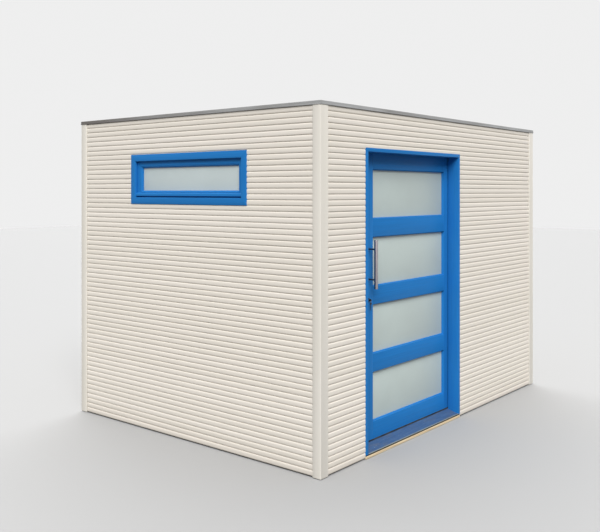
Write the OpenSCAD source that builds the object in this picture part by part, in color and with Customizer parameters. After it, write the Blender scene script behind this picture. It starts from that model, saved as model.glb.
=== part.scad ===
// Garden tool shed: a flat-roofed timber building, clad with rounded horizontal boards.
// Its glazed door has a set-back leaf that opens inwards, and one end wall has a wide low window.
// All lengths are in millimetres. X runs along the front wall and Y from the front to the back.
// The origin is on the ground, under the middle of the building.

/* [Building] */
// Length of the front wall, over the corner trims
building_w = 3010; // [2700:10:4200]
// Depth of the building, over the corner trims
building_d = 2400; // [2000:10:3600]
// Height from the ground to the top of the roof's metal edge
building_h = 2257; // [2240:1:2600]

/* [Walls] */
// Thickness of the wall behind the cladding
core_t = 125; // [110:1:150]
// Thickness of the cladding over the crests of its boards
cladding_t = 20; // [16:1:26]
// How far trims and frames stand out from the cladding
proud = 4; // [2:1:8]
// Height of the cladding's lower edge above the ground
cladding_foot = 8; // [6:1:20]
// Width of the corner trims on the front and back walls
trim_w_front = 74; // [60:1:100]
// Width of the corner trims on the end walls
trim_w_end = 66; // [60:1:100]
// Height of the corner trims' lower end above the ground
trim_foot = 3; // [2:1:20]

/* [Floor] */
// Height of the timber base that carries the walls
base_h = 36; // [30:1:45]
// How far the base is set back from the trim faces
base_inset = 32; // [28:1:50]
// Thickness of the floor boards
deck_floor_t = 18; // [18:1:22]
// Width of a floor bearer
bearer_w = 45; // [40:1:80]
// Number of floor bearers, an odd number so that one is in the middle
bearer_count = 7; // [5:2:9]

/* [Roof] */
// Height of the metal edge above the cladding
edge_h = 22; // [18:1:40]
// Thickness of the metal edge
edge_t = 2; // [1:0.5:3]
// How far the metal edge stands out from the trim faces
edge_overhang = 3; // [3:1:10]
// Width of the timber kerb under the metal edge
kerb_w = 40; // [30:1:60]
// Thickness of the roof boards
deck_roof_t = 18; // [15:1:19]
// Thickness of the roofing sheet
membrane_t = 4; // [2:1:6]
// Width of a roof joist
joist_w = 45; // [40:1:70]
// Height of a roof joist
joist_h = 95; // [80:1:110]
// Number of roof joists
joist_count = 6; // [5:1:8]

/* [Door frame] */
// Distance from the building's left end to the frame
frame_x = 465; // [400:1:700]
// Width over the frame
frame_w = 1218; // [1200:1:1300]
// Height of the frame's lower edge
frame_foot = 26; // [22:1:30]
// Height of the frame's upper edge
frame_top = 1994; // [1994:1:2010]
// Thickness of the frame's side boards
frame_board_t = 22; // [18:1:28]
// Thickness of the frame's head
frame_head_t = 24; // [20:1:28]
// How far the post beside the lock reaches into the opening
lock_post_w = 98; // [90:1:100]
// Height of the timber below the threshold
sill_beam_h = 18; // [12:1:20]

/* [Door leaf] */
// Distance from the trim faces to the face of the leaf
leaf_set_back = 97; // [90:1:97]
// Thickness of the leaf
leaf_t = 50; // [44:1:50]
// Height of the leaf's lower edge
leaf_foot = 60; // [60:1:66]
// Height of the leaf's upper edge
leaf_top = 1985; // [1980:1:1985]
// Distance from the building's left end to the panes
pane_x = 674; // [672:1:676]
// Width of a pane
pane_w = 938; // [924:1:940]
// Height of a pane
pane_h = 330; // [300:1:331]
// Number of panes, one above the other
pane_count = 4; // [3:1:4]
// Height of the lowest pane above the ground
pane_foot = 179; // [170:1:185]
// Height of the rails between the panes
rail_h = 121; // [100:1:122]
// Width of the stile with the lock
lock_stile_w = 100; // [98:1:102]
// Width of the stile with the hinges
hinge_stile_w = 76; // [74:1:90]
// Thickness of a pane
pane_t = 8; // [4:1:12]

/* [Door fittings] */
// Diameter of the handle's bar
bar_d = 25; // [20:1:30]
// Length of the handle's bar
bar_l = 320; // [300:1:360]
// Height of the bar's middle
bar_z = 1233; // [1180:1:1260]
// Distance from the leaf's face to the bar's axis
bar_off = 65; // [50:1:70]
// Distance between the handle's two posts
bar_post_gap = 200; // [160:1:240]
// Height of the lock above the ground
lock_z = 995; // [960:1:1030]
// Height of a hinge
hinge_h = 120; // [100:1:140]
// Diameter of a hinge's pin
pin_d = 8; // [6:1:9]

/* [Window] */
// Width over the window's casing
window_w = 1172; // [900:1:1300]
// Height of the casing's lower edge
window_foot = 1623; // [1500:1:1640]
// Height of the casing's upper edge
window_top = 1980; // [1960:1:1990]
// Width of the casing's boards
casing_w = 48; // [45:1:54]
// Width of the window frame's face
window_face = 53; // [35:1:60]
// Depth of the window frame
window_frame_t = 70; // [60:1:90]

/* [Hidden] */
$fn = 48;

// Depths, measured inwards from the trim faces
core_face = proud + cladding_t;
room_face = core_face + core_t;

// Heights
floor_top = base_h + deck_floor_t;
wall_top = building_h - edge_h;
roof_deck_top = wall_top - edge_t;
core_top = roof_deck_top - deck_roof_t;
joist_foot = core_top - joist_h;
ledger_w = 30;
ledger_h = 45;

// The door's opening: the frame's boards, its stops and the rebate that the leaf shuts into
leaf_gap = 5;
frame_end = frame_x + frame_w;
opening_x = frame_x + frame_board_t;
opening_end = frame_end - frame_board_t;
opening_top = frame_top - frame_head_t;
stop_back = leaf_set_back - leaf_gap;
stop_t = 17;
leaf_x = pane_x - lock_stile_w;
leaf_end = pane_x + pane_w + hinge_stile_w;
leaf_back = leaf_set_back + leaf_t;
side_gap = 7;
rebate_x = leaf_x - side_gap - 2;
rebate_end = leaf_end + side_gap;
rebate_top = leaf_top + leaf_gap;
rough_end = rebate_end + 22;
rough_top = rebate_top + 38;

// The hinges' pins stand in the room, just clear of the frame and the leaf
pin_x = leaf_end + side_gap / 2;
pin_y = room_face + 8;
knuckle_r = 8;
pin_gap = 0.05;
plate_t = 3;
hinge_feet = [for (i = [0 : 2]) 190 + 760 * i];

// The handle and the lock stand about the middle of the lock's stile
fitting_x = leaf_x + 43;
lock_x = fitting_x;
rose_d = 32;
rose_t = 7;
key_pivot_z = lock_z - 8;

// The window's opening, about the middle of the left end wall
window_y0 = (building_d - window_w) / 2;
window_y1 = window_y0 + window_w;
casing_overlap = 18;
glass_set_back = core_face + 18;

// A box between two corners, measured from the building's front left corner
module box(x0, x1, y0, y1, z0, z1) {
    translate([x0 - building_w / 2, y0 - building_d / 2, z0])
        cube([x1 - x0, y1 - y0, z1 - z0]);
}

// A box that follows the building's outline, set back from the trim faces by inset
module plan_box(inset, z0, z1) {
    box(inset, building_w - inset, inset, building_d - inset, z0, z1);
}

// A rectangular ring that follows the building's outline, between two insets
module plan_ring(outer, inner, z0, z1) {
    difference() {
        plan_box(outer, z0, z1);
        plan_box(inner, z0 - 1, z1 + 1);
    }
}

// An upright post, its cross-section given by points from the front left corner
module upright(points, z0, z1) {
    translate([-building_w / 2, -building_d / 2, z0])
        linear_extrude(z1 - z0)
            polygon(points);
}

// A length along X, its cross-section given by points of depth and height
module along_front(points, x0, x1) {
    translate([x0 - building_w / 2, -building_d / 2, 0])
        rotate([90, 0, 90])
            linear_extrude(x1 - x0)
                polygon(points);
}

// A round rod along Y, between two depths
module rod_y(x, z, d, y0, y1) {
    translate([x - building_w / 2, y0 - building_d / 2, z])
        rotate([-90, 0, 0])
            cylinder(d = d, h = y1 - y0);
}

// A round rod along Z
module rod_z(x, y, d, z0, z1) {
    translate([x - building_w / 2, y - building_d / 2, z0])
        cylinder(d = d, h = z1 - z0);
}

// Base and floor

// Timber ring under the walls, open below the door
module base_frame() {
    color("#4a4239")
        difference() {
            plan_ring(base_inset, room_face, 0, base_h);
            box(frame_x, rough_end, 0, room_face + 1, -1, base_h + 1);
        }
}

module floor_bearers() {
    step = (building_w - 2 * room_face - bearer_w - 40) / (bearer_count - 1);
    color("#8a7a5c")
        for (i = [0 : bearer_count - 1]) {
            x0 = room_face + 20 + i * step;
            box(x0, x0 + bearer_w, room_face, building_d - room_face, 0, base_h);
        }
}

module floor_deck() {
    color("#c8ae84")
        plan_box(room_face, base_h, floor_top);
}

// Walls behind the cladding

module front_wall(x0, x1, z0) {
    color("#d8c8a4")
        box(x0, x1, core_face, room_face, z0, core_top);
}

module front_wall_left() {
    front_wall(core_face, frame_x, base_h);
}

module front_wall_right() {
    front_wall(rough_end, building_w - core_face, base_h);
}

module front_wall_head() {
    front_wall(frame_x, rough_end, rough_top);
}

module back_wall() {
    color("#d8c8a4")
        box(core_face, building_w - core_face, building_d - room_face, building_d - core_face,
            base_h, core_top);
}

module left_wall() {
    color("#d8c8a4")
        difference() {
            box(core_face, room_face, room_face, building_d - room_face, base_h, core_top);
            window_hole(casing_w - casing_overlap);
        }
}

module right_wall() {
    color("#d8c8a4")
        box(building_w - room_face, building_w - core_face, room_face, building_d - room_face,
            base_h, core_top);
}

// Cladding

module front_cladding(x0, x1, z0) {
    color("#ece4d8")
        box(x0, x1, proud, core_face, z0, wall_top);
}

module front_cladding_left() {
    front_cladding(trim_w_front, frame_x, cladding_foot);
}

module front_cladding_right() {
    front_cladding(frame_end, building_w - trim_w_front, cladding_foot);
}

module front_cladding_head() {
    front_cladding(frame_x, frame_end, frame_top);
}

module back_cladding() {
    color("#ece4d8")
        box(trim_w_front, building_w - trim_w_front, building_d - core_face, building_d - proud,
            cladding_foot, wall_top);
}

module left_cladding() {
    color("#ece4d8")
        difference() {
            box(proud, core_face, trim_w_end, building_d - trim_w_end, cladding_foot, wall_top);
            window_hole(0);
        }
}

module right_cladding() {
    color("#ece4d8")
        box(building_w - core_face, building_w - proud, trim_w_end, building_d - trim_w_end,
            cladding_foot, wall_top);
}

// An L-shaped corner trim. The two factors choose the corner: 0 is left or front, 1 is right or back.
module corner_trim(right, back) {
    color("#e4dad0")
        translate([(right - 0.5) * building_w, (back - 0.5) * building_d, trim_foot])
            mirror([right, 0, 0])
                mirror([0, back, 0])
                    linear_extrude(wall_top - trim_foot)
                        polygon([
                            [0, 0], [trim_w_front, 0], [trim_w_front, core_face],
                            [core_face, core_face], [core_face, trim_w_end], [0, trim_w_end]]);
}

module corner_trim_front_left() {
    corner_trim(0, 0);
}

module corner_trim_front_right() {
    corner_trim(1, 0);
}

module corner_trim_back_left() {
    corner_trim(0, 1);
}

module corner_trim_back_right() {
    corner_trim(1, 1);
}

// Roof

// Joists from front to back
module roof_joists() {
    step = (building_w - 2 * room_face - joist_w) / (joist_count - 1);
    color("#c8ae84")
        for (i = [0 : joist_count - 1]) {
            x0 = room_face + i * step;
            box(x0, x0 + joist_w, room_face, building_d - room_face, joist_foot, core_top);
        }
}

// The two ledgers, on the front and back walls, that the joists sit on
module roof_ledgers() {
    color("#c8ae84")
        for (y0 = [room_face, building_d - room_face - ledger_w])
            box(room_face, building_w - room_face, y0, y0 + ledger_w,
                joist_foot - ledger_h, joist_foot);
}

module roof_deck() {
    color("#c8ae84")
        plan_box(core_face, core_top, roof_deck_top);
}

module roof_membrane() {
    color("#3a3b3c")
        plan_box(core_face + kerb_w, roof_deck_top, roof_deck_top + membrane_t);
}

module roof_kerb() {
    color("#c8ae84")
        plan_ring(core_face, core_face + kerb_w, roof_deck_top, building_h - edge_t);
}

// Metal cap around the roof: an outer face, a top over the kerb and a short inner face
module roof_edge_ring() {
    kerb_in = core_face + kerb_w;
    difference() {
        union() {
            plan_ring(-edge_overhang, kerb_in + edge_t, roof_deck_top + membrane_t, building_h);
            plan_ring(-edge_overhang, edge_t - edge_overhang, roof_deck_top, building_h);
        }
        plan_ring(edge_t - edge_overhang, kerb_in, roof_deck_top - 1, building_h - edge_t);
    }
}

// The part of the plan that belongs to one side, cut along the mitres.
// length is the side's own length, and depth the other one.
module mitre(length, depth) {
    reach = 150;
    margin = 20;
    x = length / 2 + margin;
    y = depth / 2 + margin;
    linear_extrude(building_h + 1)
        polygon([[-x, -y], [x, -y], [x - reach, reach - y], [reach - x, reach - y]]);
}

module roof_edge(turn, length, depth) {
    color("#8c8c8a")
        intersection() {
            roof_edge_ring();
            rotate([0, 0, turn])
                mitre(length, depth);
        }
}

module roof_edge_front() {
    roof_edge(0, building_w, building_d);
}

module roof_edge_back() {
    roof_edge(180, building_w, building_d);
}

module roof_edge_left() {
    roof_edge(-90, building_d, building_w);
}

module roof_edge_right() {
    roof_edge(90, building_d, building_w);
}

// Door frame

// The lock's side: a board in front, and a wide post with the stop behind it
module door_jamb_left() {
    post_end = opening_x + lock_post_w;
    color("#2870b4")
        upright([
            [frame_x, 0], [opening_x, 0], [opening_x, stop_back - stop_t],
            [post_end, stop_back - stop_t], [post_end, stop_back], [rebate_x, stop_back],
            [rebate_x, room_face], [frame_x, room_face]],
            frame_foot, opening_top);
}

// The hinges' side: the board is also the stop, and the leaf shuts behind it
module door_jamb_right() {
    color("#2870b4")
        upright([
            [opening_end, 0], [frame_end, 0], [frame_end, core_face], [rough_end, core_face],
            [rough_end, room_face], [rebate_end, room_face], [rebate_end, stop_back],
            [opening_end, stop_back]],
            frame_foot, opening_top);
}

module door_head() {
    color("#2870b4")
        difference() {
            union() {
                box(frame_x, frame_end, 0, core_face, opening_top, frame_top);
                box(frame_x, rough_end, core_face, room_face, opening_top, rough_top);
            }
            box(rebate_x, rebate_end, stop_back, room_face + 1, opening_top - 1, rebate_top);
        }
}

// Sloping sill between the jambs, level with the floor behind the leaf's face
module door_threshold() {
    nose_h = 3;
    color("#50709f")
        difference() {
            union() {
                along_front([
                    [0, frame_foot], [room_face, frame_foot], [room_face, floor_top],
                    [leaf_set_back, floor_top], [0, frame_foot + nose_h]],
                    opening_x, opening_end);
                box(opening_end, rebate_end, stop_back, room_face, frame_foot, floor_top);
            }
            door_jamb_left();
        }
}

module threshold_seal() {
    seal_inset = 3;
    color("#202224")
        box(frame_x, frame_end, seal_inset, room_face, sill_beam_h, frame_foot);
}

module door_sill_beam() {
    color("#e6d7b4")
        box(frame_x, frame_end, 0, room_face, 0, sill_beam_h);
}

// The fixed halves of the hinges: plate, lower knuckle and pin
module frame_hinges() {
    color("#9aa0a4")
        for (z0 = hinge_feet) {
            box(pin_x + knuckle_r + 1, pin_x + 44, room_face, room_face + plate_t, z0, z0 + hinge_h);
            box(pin_x, pin_x + knuckle_r + 2, room_face, room_face + plate_t, z0, z0 + hinge_h / 2);
            rod_z(pin_x, pin_y, 2 * knuckle_r, z0, z0 + hinge_h / 2);
            rod_z(pin_x, pin_y, pin_d, z0, z0 + hinge_h - 6);
        }
}

// Door leaf

module door_stiles() {
    color("#2870b4") {
        box(leaf_x, pane_x, leaf_set_back, leaf_back, leaf_foot, leaf_top);
        box(pane_x + pane_w, leaf_end, leaf_set_back, leaf_back, leaf_foot, leaf_top);
    }
}

// Bottom rail, the rails between the panes, and the top rail
module door_rails() {
    pitch = pane_h + rail_h;
    last_top = pane_foot + (pane_count - 1) * pitch + pane_h;
    color("#2870b4") {
        box(pane_x, pane_x + pane_w, leaf_set_back, leaf_back, leaf_foot, pane_foot);
        for (i = [1 : pane_count - 1]) {
            z0 = pane_foot + i * pitch - rail_h;
            box(pane_x, pane_x + pane_w, leaf_set_back, leaf_back, z0, z0 + rail_h);
        }
        box(pane_x, pane_x + pane_w, leaf_set_back, leaf_back, last_top, leaf_top);
    }
}

module door_panes() {
    y0 = leaf_set_back + (leaf_t - pane_t) / 2;
    color("#b4bfba", 0.7)
        for (i = [0 : pane_count - 1]) {
            z0 = pane_foot + i * (pane_h + rail_h);
            box(pane_x, pane_x + pane_w, y0, y0 + pane_t, z0, z0 + pane_h);
        }
}

// The moving halves of the hinges: plate and upper knuckle, bored for the pin
module door_hinges() {
    color("#9aa0a4")
        for (z0 = hinge_feet)
            difference() {
                union() {
                    box(pin_x - 44, pin_x - knuckle_r - 1, leaf_back, room_face + plate_t,
                        z0, z0 + hinge_h);
                    box(pin_x - knuckle_r - 2, pin_x, room_face, room_face + plate_t,
                        z0 + hinge_h / 2 + 1, z0 + hinge_h);
                    rod_z(pin_x, pin_y, 2 * knuckle_r, z0 + hinge_h / 2 + 1, z0 + hinge_h);
                }
                rod_z(pin_x, pin_y, pin_d + 2 * pin_gap, z0 - 1, z0 + hinge_h - 5);
            }
}

// Door fittings, on the stile with the lock

// Upright bar on two posts
module pull_handle() {
    bar_y = leaf_set_back - bar_off;
    post_d = 12;
    color("#aeb4b8")
        union() {
            rod_z(fitting_x, bar_y, bar_d, bar_z - bar_l / 2, bar_z + bar_l / 2);
            for (side = [-1, 1])
                rod_y(fitting_x, bar_z + side * bar_post_gap / 2, post_d, bar_y, leaf_set_back);
        }
}

// Round cover plate and the end of the cylinder
module lock_cylinder() {
    plug_d = 17;
    color("#9aa0a4")
        union() {
            rod_y(lock_x, lock_z, rose_d, leaf_set_back - rose_t, leaf_set_back);
            rod_y(lock_x, lock_z, plug_d, leaf_set_back - rose_t - 4, leaf_set_back - rose_t);
        }
}

// The key's bow in the lock, and a second key that hangs from it
module door_key() {
    key_y = leaf_set_back - rose_t - 4;
    bow_d = 20;
    bow_l = 18;
    bow_t = 5;
    spare_l = 60;
    spare_y = key_y - 16;
    color("#1c1d1f")
        union() {
            box(lock_x - bow_t / 2, lock_x + bow_t / 2, key_y - bow_l, key_y,
                lock_z - bow_d / 2, lock_z + bow_d / 2);
            box(lock_x - 9, lock_x + 9, spare_y, spare_y + 3, key_pivot_z - spare_l, key_pivot_z);
        }
}

// Window in the left end wall

// The window's opening through the left wall, inset from the casing's outer edges
module window_hole(inset) {
    box(-1, room_face + 1, window_y0 + inset, window_y1 - inset,
        window_foot + inset, window_top - inset);
}

// A rectangular ring around the window between two insets, and between two depths
module window_ring(outer, inner, x0, x1) {
    difference() {
        box(x0, x1, window_y0 + outer, window_y1 - outer, window_foot + outer, window_top - outer);
        window_hole(inner);
    }
}

module window_casing() {
    color("#2870b4")
        window_ring(0, casing_w, 0, core_face);
}

module window_frame() {
    color("#2870b4")
        window_ring(casing_w - casing_overlap, casing_w + window_face - 10,
            core_face, core_face + window_frame_t);
}

module window_glass() {
    inset = casing_w + window_face - 10;
    color("#bec8c6", 0.7)
        box(glass_set_back, glass_set_back + 6, window_y0 + inset, window_y1 - inset,
            window_foot + inset, window_top - inset);
}

// Bead that sheds water in front of the frame's lower rail
module window_sill() {
    bead_gap = 10;
    bead_h = 25;
    color("#2870b4")
        box(6, core_face, window_y0 + casing_w, window_y1 - casing_w,
            window_foot + casing_w + bead_gap, window_foot + casing_w + bead_gap + bead_h);
}

base_frame();
floor_bearers();
floor_deck();
front_wall_left();
front_wall_right();
front_wall_head();
back_wall();
left_wall();
right_wall();
front_cladding_left();
front_cladding_right();
front_cladding_head();
back_cladding();
left_cladding();
right_cladding();
corner_trim_front_left();
corner_trim_front_right();
corner_trim_back_left();
corner_trim_back_right();
roof_ledgers();
roof_joists();
roof_deck();
roof_membrane();
roof_kerb();
roof_edge_front();
roof_edge_back();
roof_edge_left();
roof_edge_right();
door_jamb_left();
door_jamb_right();
door_head();
door_threshold();
threshold_seal();
door_sill_beam();
frame_hinges();
window_casing();
window_frame();
window_glass();
window_sill();
door_stiles();
door_rails();
door_panes();
door_hinges();
pull_handle();
lock_cylinder();
door_key();
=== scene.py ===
# %% [markdown]
# # A garden tool shed
# The shed is a flat-roofed timber box. Rounded boards cover its walls, its door and window are painted
# blue, and a thin metal edge closes the roof. The sizes come from the CAD frame, which is loaded first.
# Everything here is in metres, and each piece is put straight into the frame's place.

# %% Load the frame
import math

import bmesh
import bpy
import numpy as np
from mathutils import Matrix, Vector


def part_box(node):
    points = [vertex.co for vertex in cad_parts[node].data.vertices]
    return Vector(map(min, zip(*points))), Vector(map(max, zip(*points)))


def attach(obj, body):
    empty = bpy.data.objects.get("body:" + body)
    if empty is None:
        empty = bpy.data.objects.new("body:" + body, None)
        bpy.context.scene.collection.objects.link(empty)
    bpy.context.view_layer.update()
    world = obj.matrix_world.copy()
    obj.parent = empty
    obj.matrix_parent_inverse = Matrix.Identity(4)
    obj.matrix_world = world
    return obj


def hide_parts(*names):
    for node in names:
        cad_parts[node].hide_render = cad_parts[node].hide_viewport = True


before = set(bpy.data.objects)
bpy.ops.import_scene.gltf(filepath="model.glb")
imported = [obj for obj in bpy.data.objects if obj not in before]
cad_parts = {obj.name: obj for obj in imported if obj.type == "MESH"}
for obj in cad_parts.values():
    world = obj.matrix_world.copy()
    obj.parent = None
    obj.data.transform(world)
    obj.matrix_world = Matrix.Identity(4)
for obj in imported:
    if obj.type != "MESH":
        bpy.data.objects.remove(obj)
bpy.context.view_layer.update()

# %% [markdown]
# A few levels are used again and again: the four faces of the corner trims, the top of the walls and the
# top of the floor. They are read from the frame's own nodes, so that they follow the CAD.

# %% Levels of the building
front_left_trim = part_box("corner_trim_front_left")
back_right_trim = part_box("corner_trim_back_right")
west, front = front_left_trim[0].x, front_left_trim[0].y
east, back = back_right_trim[1].x, back_right_trim[1].y
wall_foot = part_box("front_cladding_left")[0].z
wall_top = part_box("front_cladding_left")[1].z
print(f"building {east - west:.3f} by {back - front:.3f} m, walls up to {wall_top:.3f} m")

# %% [markdown]
# The camera stands at eye height, a few metres off the nearest corner. It looks level, so that upright
# edges stay parallel, as an architect draws them. The lens is shifted down instead of tilted, which brings
# the ground into view without making the walls lean.

# %% Camera
eye_height = 1.715
off_corner_x, off_corner_y = 3.646, 2.944
turned_right = 51.75
camera_data = bpy.data.cameras.new("camera")
camera_data.lens = 47.46
camera_data.shift_x = -0.05
camera_data.shift_y = -0.1246
camera = bpy.data.objects.new("camera", camera_data)
camera.location = (west - off_corner_x, front - off_corner_y, eye_height)
camera.rotation_euler = (math.radians(90), 0, math.radians(-turned_right))
bpy.context.collection.objects.link(camera)
bpy.context.scene.camera = camera
print("camera at", [round(v, 3) for v in camera.location])

# %% [markdown]
# The floor is a plain pale sheet. It looks pale to the camera, but light that bounces off it meets a much
# darker grey, as it would off grass or damp paving. Without that, the undersides of the building would be
# lit from below and its deep door would lose the shadow under its head.

# %% Floor
def shader_tree(name):
    """An empty material, its node tree, and a Principled shader joined to its output."""
    material = bpy.data.materials.new(name)
    material.use_nodes = True
    tree = material.node_tree
    return material, tree, tree.nodes["Principled BSDF"]


def rays_that_look(tree):
    """1 for rays from the camera, off metal or through glass, and 0 for light that bounces."""
    rays = tree.nodes.new("ShaderNodeLightPath")
    looking = rays.outputs["Is Camera Ray"]
    for kind in ("Is Glossy Ray", "Is Transmission Ray"):
        either = tree.nodes.new("ShaderNodeMath")
        either.operation = "MAXIMUM"
        tree.links.new(looking, either.inputs[0])
        tree.links.new(rays.outputs[kind], either.inputs[1])
        looking = either.outputs[0]
    return looking


SEEN_GREY, BOUNCE_GREY = 0.42, 0.12


def floor_material():
    """Pale where it is looked at, and dark to the light that bounces."""
    material, tree, shader = shader_tree("pale_floor")
    grey = tree.nodes.new("ShaderNodeMix")
    grey.data_type = "RGBA"
    grey.inputs["A"].default_value = (BOUNCE_GREY, BOUNCE_GREY, BOUNCE_GREY, 1)
    grey.inputs["B"].default_value = (SEEN_GREY, SEEN_GREY, SEEN_GREY, 1)
    tree.links.new(rays_that_look(tree), grey.inputs["Factor"])
    tree.links.new(grey.outputs["Result"], shader.inputs["Base Color"])
    shader.inputs["Roughness"].default_value = 0.9
    shader.inputs["Specular IOR Level"].default_value = 0.1
    return material


floor_reach = 30
floor_mesh = bpy.data.meshes.new("studio_floor")
floor_mesh.from_pydata(
    [(-floor_reach, -floor_reach, 0), (floor_reach, -floor_reach, 0),
     (floor_reach, floor_reach, 0), (-floor_reach, floor_reach, 0)], [], [(0, 1, 2, 3)])
floor = bpy.data.objects.new("studio_floor", floor_mesh)
floor_mesh.materials.append(floor_material())
bpy.context.collection.objects.link(floor)
print("floor", 2 * floor_reach, "m across")

# %% [markdown]
# An overcast sky is bright overhead and dimmer near the horizon. A world whose strength grows with height
# does the same. The camera, metal and glass see a plain pale backdrop instead.

# %% Sky light
HORIZON, OVERHEAD, BACKDROP = 0.02, 1.15, 0.86


def sky_world():
    """Strength rises evenly with a direction's height; rays that look see the backdrop's strength."""
    world = bpy.data.worlds.new("soft_sky")
    world.use_nodes = True
    tree = world.node_tree
    background = tree.nodes["Background"]
    direction = tree.nodes.new("ShaderNodeTexCoord")
    height = tree.nodes.new("ShaderNodeSeparateXYZ")
    tree.links.new(direction.outputs["Generated"], height.inputs[0])
    strength = tree.nodes.new("ShaderNodeMapRange")
    strength.inputs["From Min"].default_value = -0.05
    strength.inputs["From Max"].default_value = 1.0
    strength.inputs["To Min"].default_value = HORIZON
    strength.inputs["To Max"].default_value = OVERHEAD
    tree.links.new(height.outputs["Z"], strength.inputs["Value"])
    seen = tree.nodes.new("ShaderNodeMix")
    tree.links.new(rays_that_look(tree), seen.inputs["Factor"])
    tree.links.new(strength.outputs["Result"], seen.inputs["A"])
    seen.inputs["B"].default_value = BACKDROP
    tree.links.new(seen.outputs["Result"], background.inputs["Strength"])
    background.inputs["Color"].default_value = (1, 1, 1, 1)
    return world


bpy.context.scene.world = sky_world()
bpy.context.scene.view_settings.view_transform = "Standard"
print("sky is", bpy.context.scene.world.name)

# %% [markdown]
# Two broad suns stand for the brightest parts of the sky. A sun's light comes from one direction however
# far a wall reaches, so the walls are lit evenly from end to end, and a wide disc keeps its shadows soft.
# One stands off the near corner, so that both walls in view get the same share, and it is steep enough to
# brighten the upper half of every rounded board. The other lights the two walls behind.

# %% Suns
def broad_sun(name, towards, strength, spread_degrees):
    """A sun that shines from a direction, as seen from the middle of the building."""
    data = bpy.data.lights.new(name, "SUN")
    data.energy = strength
    data.angle = math.radians(spread_degrees)
    sun = bpy.data.objects.new(name, data)
    sun.location = [6 * part for part in towards]
    sun.rotation_euler = (-sun.location).to_track_quat("-Z", "Y").to_euler()
    bpy.context.collection.objects.link(sun)
    return sun


suns = [
    broad_sun("near_sun", (-0.72, -0.72, 0.85), 2.9, 36),
    broad_sun("far_sun", (0.8, 0.8, 0.9), 2.4, 70)]
print("suns", [sun.name for sun in suns])

# %% [markdown]
# ## How the pieces are made
# Almost every piece is a skin over rings of points: a cross-section repeated along a path. One helper
# turns an array of rings into faces, so that the pieces only have to work out where their points are.
# The array's shape is solids, rings, corners and the three coordinates.

# %% Skins over rings
def skin(rings, round_path):
    """Corner numbers of the faces between neighbouring rings of each solid.

    Ring r, corner c of a solid is point (solid * R + r) * C + c, and each quad joins c and c + 1 on
    rings r and r + 1. The first and last rings are closed by a cap, unless the path runs round to its start.
    """
    solids, count, corners = rings.shape[:3]
    ring = np.arange(count if round_path else count - 1)[:, None]
    corner = np.arange(corners)[None, :]
    here, there = ring * corners, (ring + 1) % count * corners
    after = (corner + 1) % corners
    quads = np.stack([here + corner, here + after, there + after, there + corner], axis=-1).reshape(-1, 4)
    start = (np.arange(solids) * count * corners)[:, None, None]
    faces = (start + quads).reshape(-1, 4).tolist()
    if not round_path:
        caps = np.stack([np.arange(corners)[::-1], (count - 1) * corners + np.arange(corners)])
        faces += (start + caps).reshape(-1, corners).tolist()
    return faces


def add_piece(name, rings, body, nodes, material, round_path=False, crease=32, values=None):
    """A piece made of rings, riding on a body and standing for some CAD nodes.

    values holds further arrays by name, one row for each point, which materials read as attributes.
    """
    mesh = bpy.data.meshes.new(name)
    points = np.asarray(rings, dtype=float)
    mesh.from_pydata(points.reshape(-1, 3), [], skin(points, round_path))
    for label, rows in (values or {}).items():
        kind = "FLOAT_VECTOR" if rows.shape[-1] == 3 else "FLOAT"
        layer = mesh.attributes.new(label, kind, "POINT")
        layer.data.foreach_set("vector" if kind == "FLOAT_VECTOR" else "value", rows.ravel())
    return finish_piece(name, mesh, body, nodes, material, crease)


def finish_piece(name, mesh, body, nodes, material, crease):
    """Turns a mesh's faces outwards, shades it smooth up to an angle, and places it in the frame."""
    work = bmesh.new()
    work.from_mesh(mesh)
    bmesh.ops.recalc_face_normals(work, faces=work.faces)
    work.to_mesh(mesh)
    work.free()
    mesh.shade_smooth()
    mesh.set_sharp_from_angle(angle=math.radians(crease))
    mesh.materials.clear()
    mesh.materials.append(material)
    piece = bpy.data.objects.new(name, mesh)
    bpy.context.collection.objects.link(piece)
    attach(piece, body)
    if nodes:
        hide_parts(*nodes)
    print(f"{name}: {len(mesh.vertices)} points, {len(mesh.polygons)} faces")
    return piece


# %% [markdown]
# Planed timber never has a perfectly sharp edge. A block with rounded edges is a rectangle carried along
# one axis: near each end the rectangle shrinks along a quarter circle, and its corners are arcs.

# %% Rounded blocks
def arc_rectangle(half_a, half_b, radius, steps=3):
    """Outline of a rectangle with round corners: corner centre + radius * (cos, sin), a quarter turn each."""
    turn = np.radians(np.linspace(0, 90, steps + 1))[None, :] + np.radians([0, 90, 180, 270])[:, None]
    side = np.array([[1, 1], [-1, 1], [-1, -1], [1, -1]], dtype=float)
    centre = side * [half_a - radius, half_b - radius]
    arcs = centre[:, None, :] + radius * np.stack([np.cos(turn), np.sin(turn)], axis=-1)
    return arcs.reshape(-1, 2)


def rounded_block(low, high, radius, axis, steps=3):
    """Rings of a block with rounded edges, from its low to its high corner, along one axis.

    At angle t of the end's quarter circle the ring stands radius * (1 - cos t) inside the end,
    and its outline lies radius * (1 - sin t) inside the block's sides.
    """
    low, high = np.array(low, dtype=float), np.array(high, dtype=float)
    centre, half = (low + high) / 2, (high - low) / 2
    others = [i for i in range(3) if i != axis]
    turn = np.radians(np.linspace(15, 90, steps + 1))
    from_end, inset = radius * (1 - np.cos(turn)), radius * (1 - np.sin(turn))
    first = np.stack([from_end - half[axis], inset], axis=-1)
    last = np.stack([half[axis] - from_end, inset], axis=-1)[::-1]
    stations = np.concatenate([first, last])
    rings = np.empty((1, len(stations), 4 * (steps + 1), 3))
    for index, (place, inset) in enumerate(stations):
        outline = arc_rectangle(half[others[0]] - inset, half[others[1]] - inset, radius - inset, steps)
        rings[0, index][:, others] = centre[others] + outline
        rings[0, index][:, axis] = centre[axis] + place
    return rings


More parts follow.
